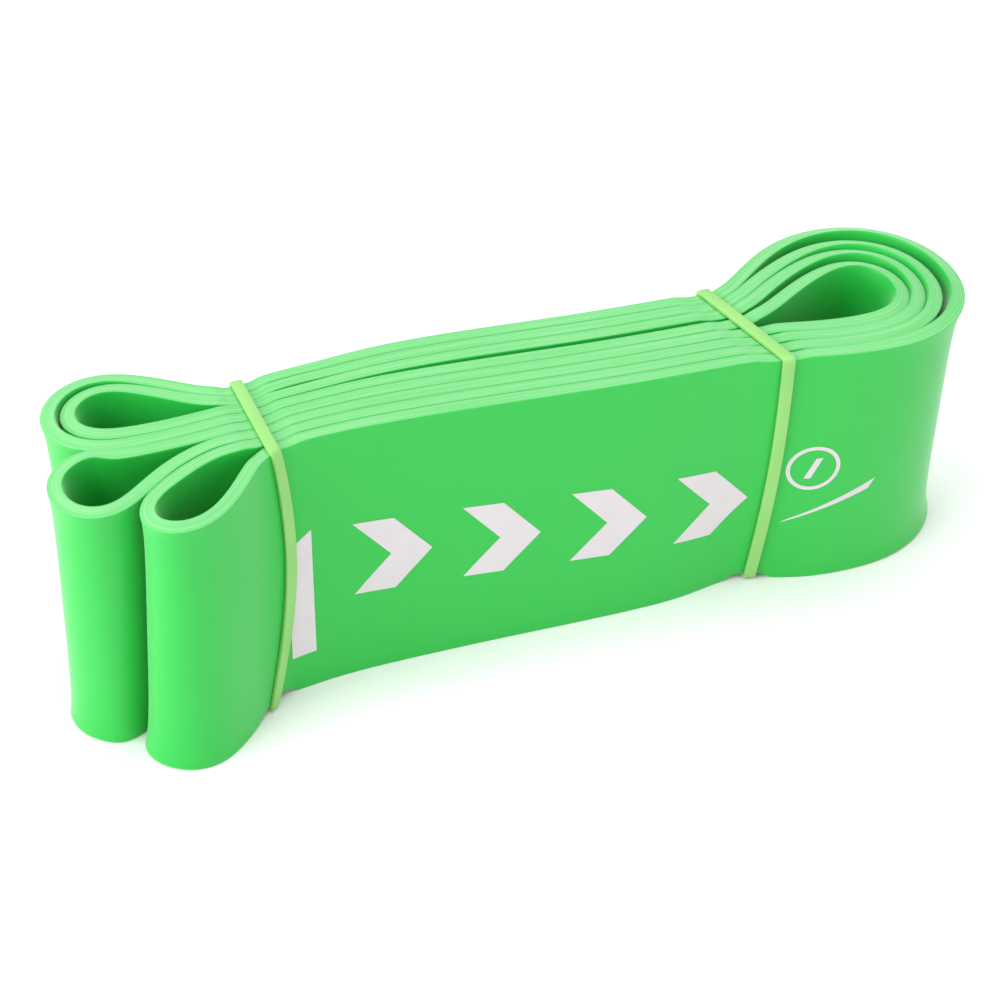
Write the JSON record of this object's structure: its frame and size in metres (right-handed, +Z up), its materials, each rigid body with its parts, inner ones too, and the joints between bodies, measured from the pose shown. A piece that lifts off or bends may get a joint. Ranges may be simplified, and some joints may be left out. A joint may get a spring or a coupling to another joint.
{
  "type": "resistance band",
  "caption": "Wide flat latex loop band folded back and forth into a bundle that stands on its long edges, held by small elastics, with plain printed marks along the front face.",
  "frame": {"origin": "middle of the bounding box in plan, on the surface the long edges stand on", "axes": "+X along the folded bundle towards the single rounded end, +Y to the back, +Z up across the band's width"},
  "size_m": [0.2684, 0.0964, 0.0837],
  "materials": {
    "latex_green": "satin",
    "elastic_pale": "satin",
    "ink_white": "satin"
  },
  "bodies": {
    "band": {"loop_band": "latex_green", "mark_bar": "ink_white", "mark_chevron_1": "ink_white", "mark_chevron_2": "ink_white", "mark_chevron_3": "ink_white", "mark_chevron_4": "ink_white", "mark_stripe": "ink_white", "mark_ring": "ink_white", "mark_stroke": "ink_white"},
    "left_ring": {"left_elastic": "elastic_pale"},
    "right_ring": {"right_elastic": "elastic_pale"}
  },
  "joints": [
    {"name": "left_elastic_off", "type": "slide", "parent": "band", "child": "left_ring", "axis": [-1, 0, 0], "range_m": [0, 0.075], "deforming": ["left_elastic"]},
    {"name": "right_elastic_off", "type": "slide", "parent": "band", "child": "right_ring", "axis": [1, 0, 0], "range_m": [0, 0.085], "deforming": ["right_elastic"]}
  ]
}
